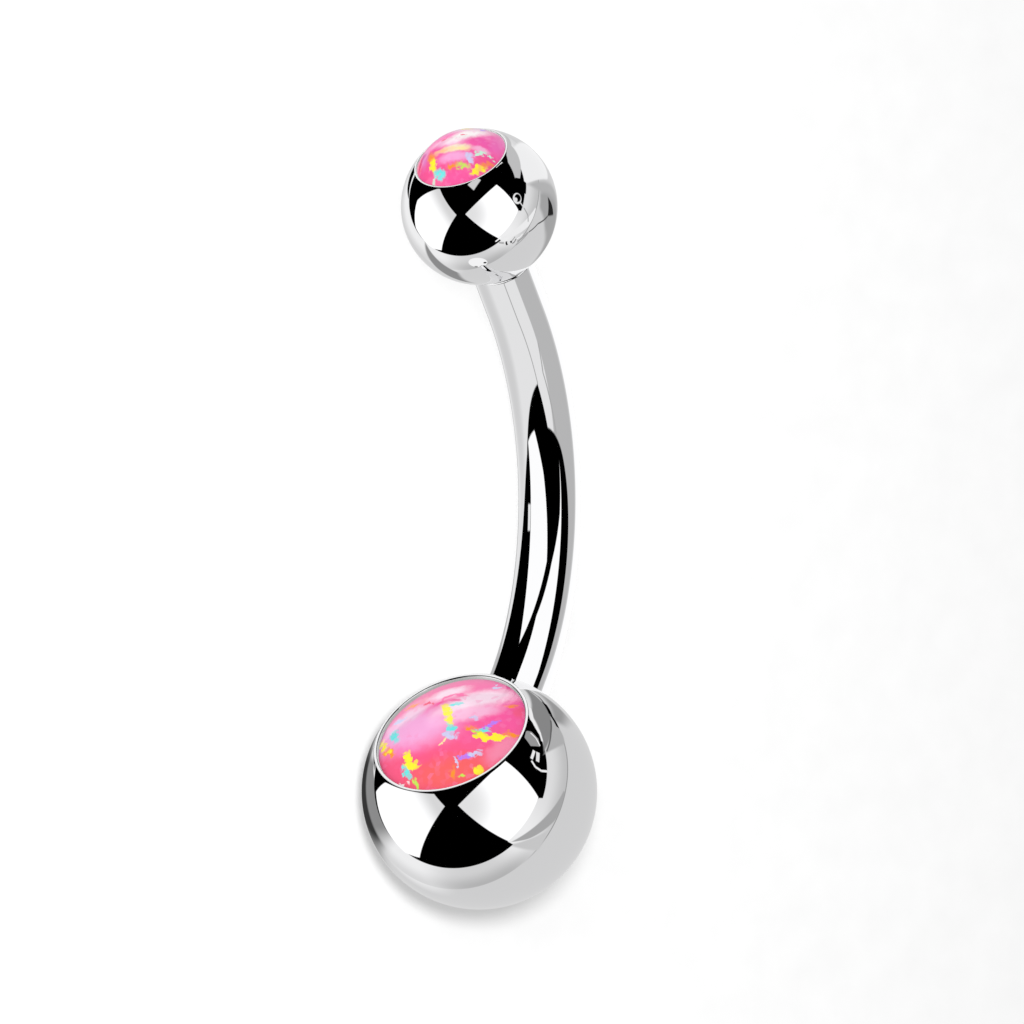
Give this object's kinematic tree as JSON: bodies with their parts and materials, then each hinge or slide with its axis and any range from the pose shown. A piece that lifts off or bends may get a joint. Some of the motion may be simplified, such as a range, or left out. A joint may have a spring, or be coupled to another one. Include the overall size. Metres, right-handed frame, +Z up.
{
  "type": "belly button ring",
  "caption": "Curved navel bar with a fixed jewelled ball below and a smaller jewelled ball that unscrews above, lying on both balls and its bend.",
  "frame": {"origin": "middle of the footprint, on the surface that the ring lies on", "axes": "+Z up from that surface; +Y along the ring from the lower, larger ball to the upper one; the bend bulges towards +X and tips down to the surface, and both stones face -X, +Y and a little up"},
  "size_m": [0.0074, 0.0198, 0.006],
  "materials": {
    "polished_titanium": "mirror-polished titanium, neutral silver",
    "pink_opal": "pink opal with yellow, cyan and violet fire, glossy and opaque"
  },
  "bodies": {
    "bar": {"curved_bar": "polished_titanium", "lower_stone": "pink_opal"},
    "screw_end": {"upper_ball": "polished_titanium", "upper_stone": "pink_opal"}
  },
  "joints": [
    {"name": "upper_ball_unscrews", "type": "slide", "parent": "bar", "child": "screw_end", "axis": [-0.6032, 0.7657, 0.2235], "range_m": [0, 0.0031]}
  ]
}
